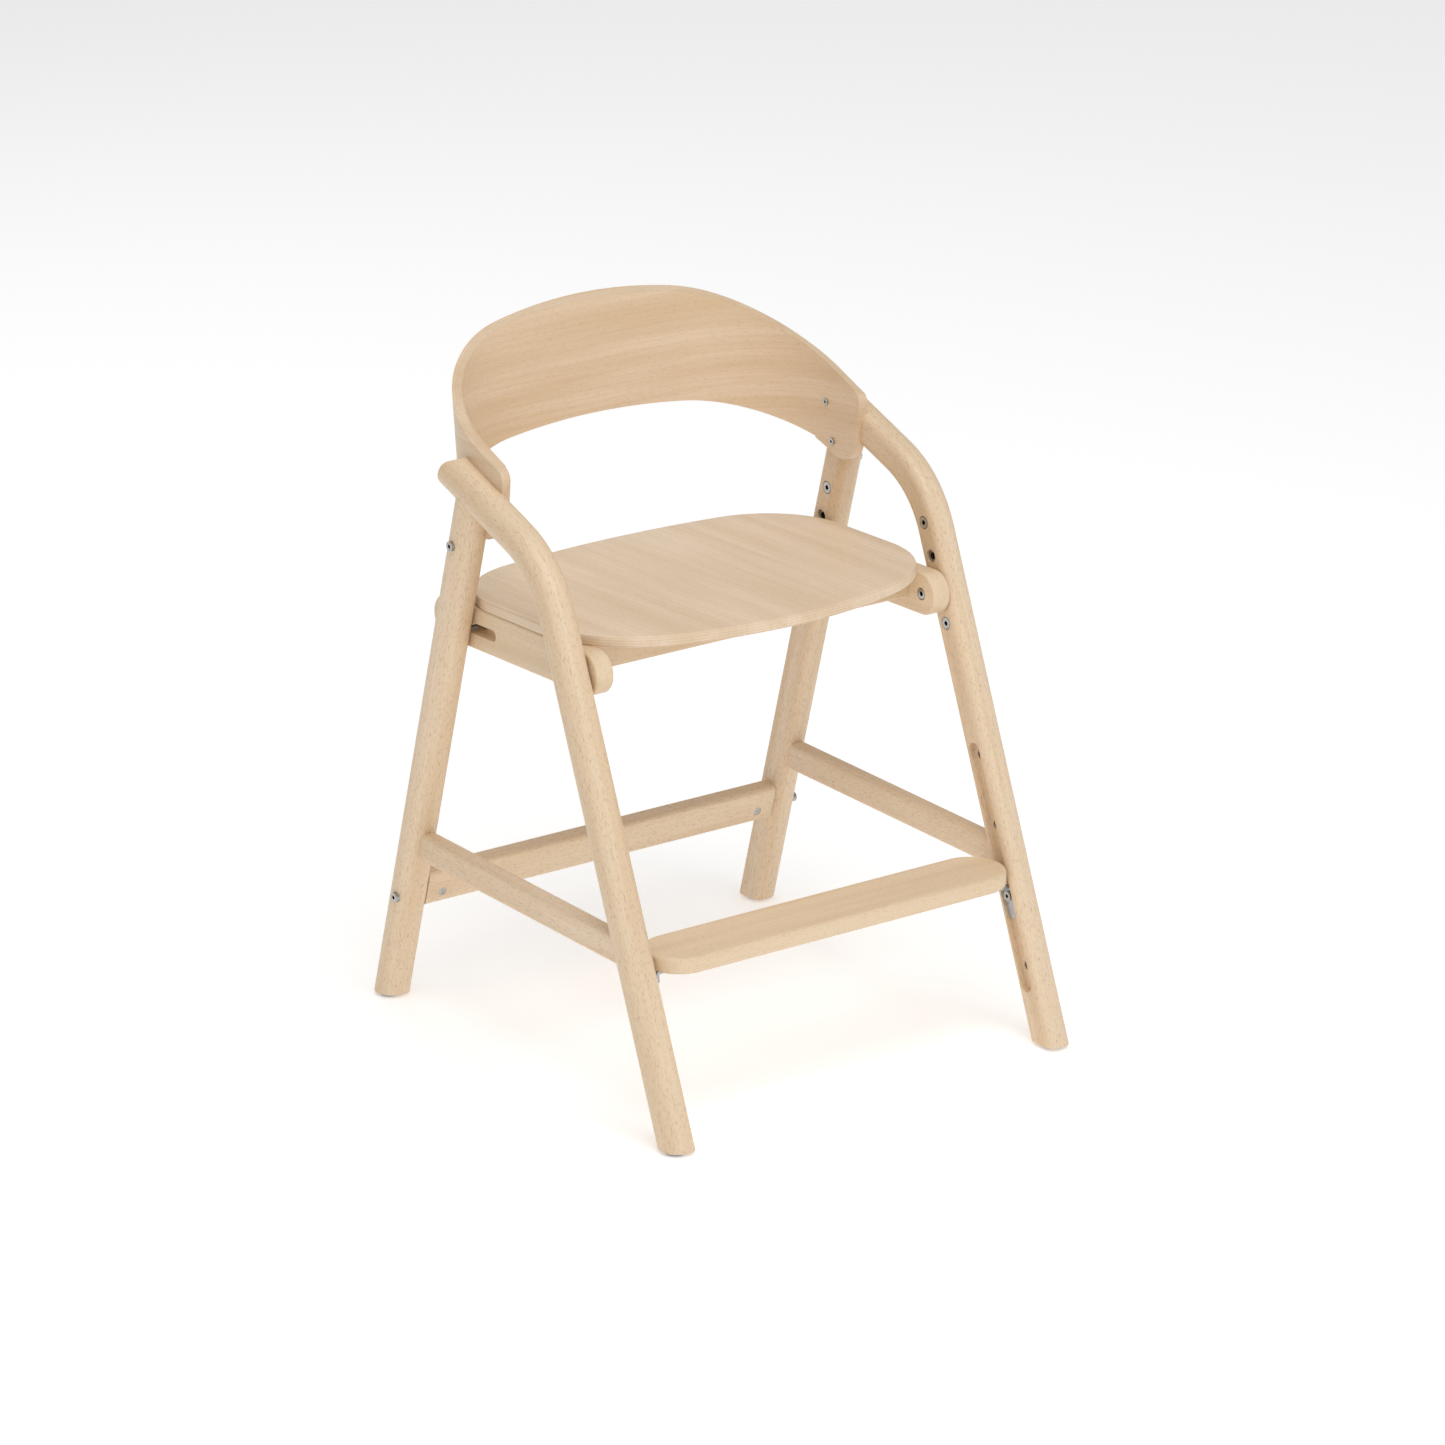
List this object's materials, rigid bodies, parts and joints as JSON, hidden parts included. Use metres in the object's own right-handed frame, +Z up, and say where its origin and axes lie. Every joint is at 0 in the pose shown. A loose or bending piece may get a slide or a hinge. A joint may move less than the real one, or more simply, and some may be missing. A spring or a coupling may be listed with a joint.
{
  "type": "baby high chair",
  "caption": "Wooden high chair with bent legs that run into armrests, a curved ply backrest, a height-adjustable ply seat and a height-adjustable footrest.",
  "frame": {"origin": "on the floor, under the middle of the chair's box", "axes": "+Z up, +Y towards the backrest, +X to the right seen from the front of the chair looking along +Y"},
  "size_m": [0.536, 0.5775, 0.7578],
  "materials": {
    "beech_legs": "clear lacquer, satin",
    "beech_rails": "clear lacquer, satin",
    "beech_bearers": "clear lacquer, satin",
    "beech_board": "clear lacquer, satin",
    "ply_back": "beech-faced plywood, satin lacquer",
    "ply_seat": "beech-faced plywood, satin lacquer",
    "grey_steel": "zinc-plated, dull",
    "nickel_bolts": "nickel-plated, bright",
    "dark_inserts": "plain steel, dull",
    "white_nylon": "moulded, matt"
  },
  "bodies": {
    "frame": {"front_leg_left": "beech_legs", "front_leg_right": "beech_legs", "rear_leg_left": "beech_legs", "rear_leg_right": "beech_legs", "side_rail_left": "beech_rails", "side_rail_right": "beech_rails", "rear_stretcher": "beech_rails", "backrest": "ply_back", "footrest_inserts": "dark_inserts", "seat_inserts": "dark_inserts", "accessory_plugs": "nickel_bolts", "leg_bolts": "nickel_bolts", "stretcher_bolts": "nickel_bolts", "stretcher_barrel_nuts": "grey_steel", "backrest_screws": "nickel_bolts", "dowels": "beech_rails", "glides": "white_nylon", "glide_nails": "grey_steel"},
    "seat_unit": {"seat": "ply_seat", "seat_bearer_left": "beech_bearers", "seat_bearer_right": "beech_bearers", "seat_cross_rail_front": "beech_rails", "seat_cross_rail_rear": "beech_rails", "seat_front_bolts": "nickel_bolts", "seat_screws": "nickel_bolts", "bearer_dowels": "beech_rails"},
    "rear_seat_bolts": {"seat_rear_bolts": "nickel_bolts", "seat_rear_washers": "grey_steel"},
    "footrest_unit": {"footrest_board": "beech_board", "footrest_bracket_left": "grey_steel", "footrest_bracket_right": "grey_steel", "footrest_bolts": "nickel_bolts", "footrest_screws": "nickel_bolts"}
  },
  "joints": [
    {"name": "seat_height", "type": "slide", "parent": "frame", "child": "seat_unit", "axis": [0, 0.3738, 0.9275], "range_m": [-0.0368, 0.0736]},
    {"name": "rear_bolt_in_slot", "type": "slide", "parent": "seat_unit", "child": "rear_seat_bolts", "axis": [0, -0.9992, 0.04], "range_m": [-0.024, 0.0478]},
    {"name": "footrest_height", "type": "slide", "parent": "frame", "child": "footrest_unit", "axis": [0, 0.3738, 0.9275], "range_m": [-0.0773, 0.1546]}
  ],
  "couplings": [
    {"joint": "rear_bolt_in_slot", "follows": "seat_height", "ratio": 0.64496}
  ]
}
